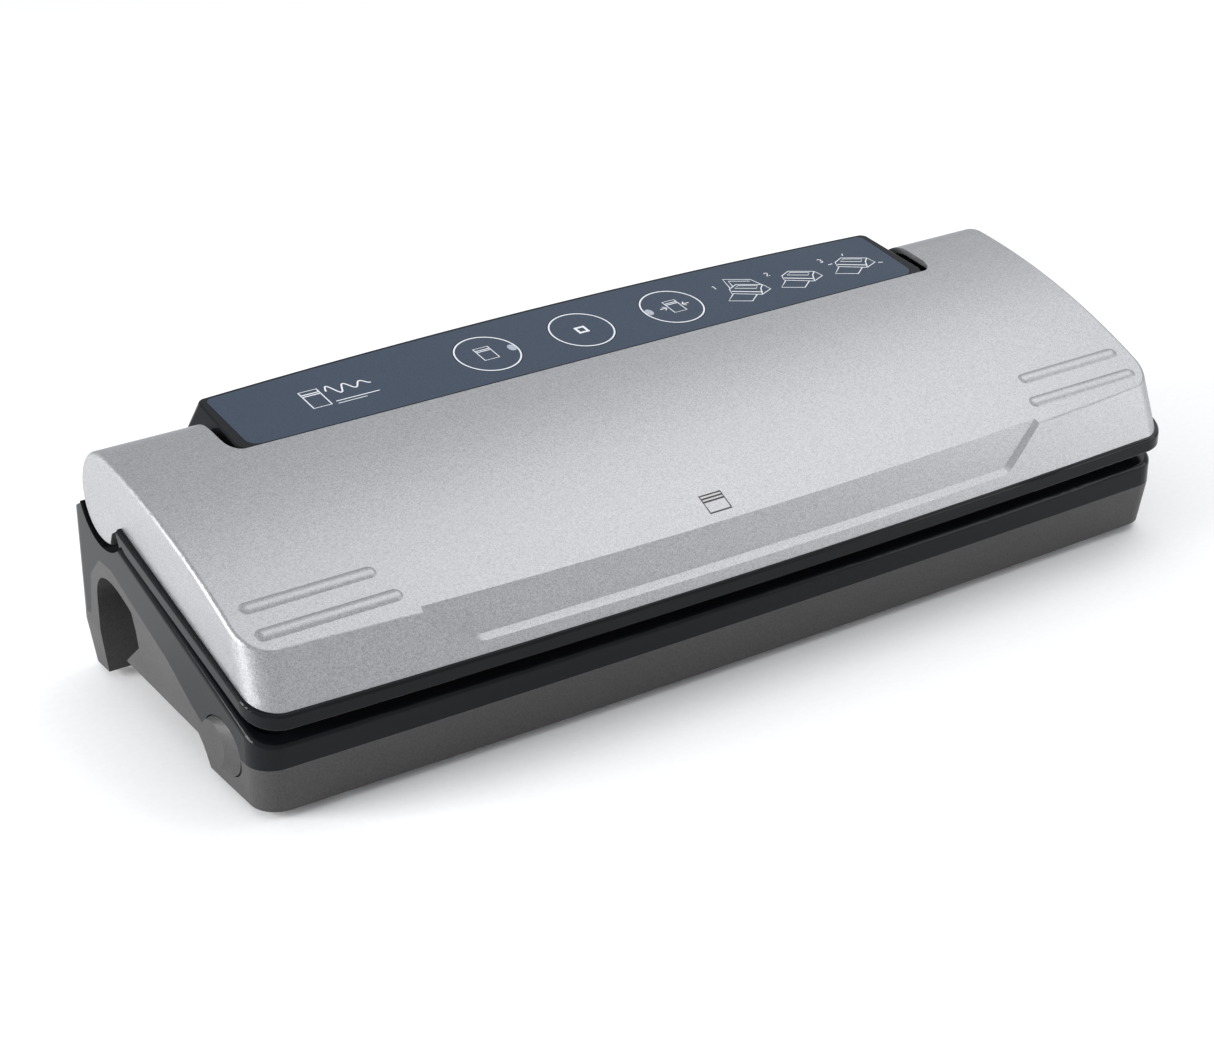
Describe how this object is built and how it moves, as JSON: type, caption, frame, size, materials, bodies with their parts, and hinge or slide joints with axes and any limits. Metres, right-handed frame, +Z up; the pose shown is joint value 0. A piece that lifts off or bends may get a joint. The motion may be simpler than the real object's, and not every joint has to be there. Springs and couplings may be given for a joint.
{
  "type": "vacuum sealer",
  "caption": "Countertop vacuum sealer with a hinged silver lid over a black tray, a sloping control panel with sprung round keys, and sprung lid-release buttons in the sides.",
  "frame": {"origin": "centre of the overall plan, on the surface that the feet stand on", "axes": "+X along the length, -Y towards the user at the front, +Z up"},
  "size_m": [0.3732, 0.1332, 0.088],
  "materials": {
    "silver_paint": "satin metallic paint with a fine sparkle",
    "black_gloss": "gloss",
    "charcoal_shell": "fine satin",
    "slate_film": "matte printed film",
    "circuit_board": "satin",
    "dark_plastic": "matte",
    "bar_plastic": "matte",
    "heating_metal": "rolled strip",
    "release_cloth": "coated glass cloth",
    "grey_rubber": "foam rubber",
    "red_rubber": "silicone",
    "hose_rubber": "silicone",
    "foot_rubber": "translucent",
    "white_plastic": "satin",
    "relay_plastic": "satin",
    "motor_steel": "plated",
    "copper_coil": "enamelled",
    "screw_steel": "plated",
    "lens_plastic": "frosted"
  },
  "bodies": {
    "base": {"air_inlet": "dark_plastic", "bag_stops": "black_gloss", "capacitors": "dark_plastic", "case_screws": "screw_steel", "control_board": "circuit_board", "control_console": "black_gloss", "front_feet": "foot_rubber", "heater_bar": "bar_plastic", "heating_strip": "heating_metal", "hinge_pins": "screw_steel", "latch_springs": "screw_steel", "lower_case": "charcoal_shell", "lower_gasket": "grey_rubber", "mains_socket": "dark_plastic", "panel_film": "slate_film", "power_board": "circuit_board", "pressure_switch": "white_plastic", "pump_head": "white_plastic", "pump_motor": "motor_steel", "rear_feet": "foot_rubber", "relay": "relay_plastic", "release_tape": "release_cloth", "socket_pins": "screw_steel", "tact_switches": "dark_plastic", "transformer_coil": "copper_coil", "transformer_core": "motor_steel", "upper_deck": "black_gloss", "vacuum_hose": "hose_rubber"},
    "lid": {"lid_cover": "silver_paint", "lid_liner": "black_gloss", "upper_gasket": "grey_rubber", "pressure_strip": "red_rubber", "lid_hooks": "dark_plastic", "lid_screws": "screw_steel"},
    "left_release": {"release_button_left": "charcoal_shell", "latch_slider_left": "dark_plastic"},
    "right_release": {"release_button_right": "charcoal_shell", "latch_slider_right": "dark_plastic"},
    "seal_button": {"seal_key": "slate_film", "seal_lens": "lens_plastic"},
    "stop_button": {"stop_key": "slate_film"},
    "vacuum_button": {"vacuum_key": "slate_film", "vacuum_lens": "lens_plastic"},
    "fan": {"motor_fan": "white_plastic"}
  },
  "joints": [
    {"name": "lid_hinge", "type": "hinge", "parent": "base", "child": "lid", "pos_m": [0, 0.042, 0.0702], "axis": [-1, 0, 0], "range_deg": [-2.4, 62]},
    {"name": "left_release_slide", "type": "slide", "parent": "base", "child": "left_release", "axis": [1, 0, 0], "range_m": [0, 0.0035], "stiffness_N_per_m": 600, "springref_m": -0.002},
    {"name": "right_release_slide", "type": "slide", "parent": "base", "child": "right_release", "axis": [-1, 0, 0], "range_m": [0, 0.0035], "stiffness_N_per_m": 600, "springref_m": -0.002},
    {"name": "seal_button_press", "type": "slide", "parent": "base", "child": "seal_button", "axis": [0, 0.1392, -0.9903], "range_m": [0, 0.0006], "stiffness_N_per_m": 900, "springref_m": -0.0008},
    {"name": "stop_button_press", "type": "slide", "parent": "base", "child": "stop_button", "axis": [0, 0.1392, -0.9903], "range_m": [0, 0.0006], "stiffness_N_per_m": 900, "springref_m": -0.0008},
    {"name": "vacuum_button_press", "type": "slide", "parent": "base", "child": "vacuum_button", "axis": [0, 0.1392, -0.9903], "range_m": [0, 0.0006], "stiffness_N_per_m": 900, "springref_m": -0.0008},
    {"name": "fan_spin", "type": "hinge", "parent": "base", "child": "fan", "pos_m": [0.093, 0.03, 0.035], "axis": [1, 0, 0], "continuous": true}
  ]
}
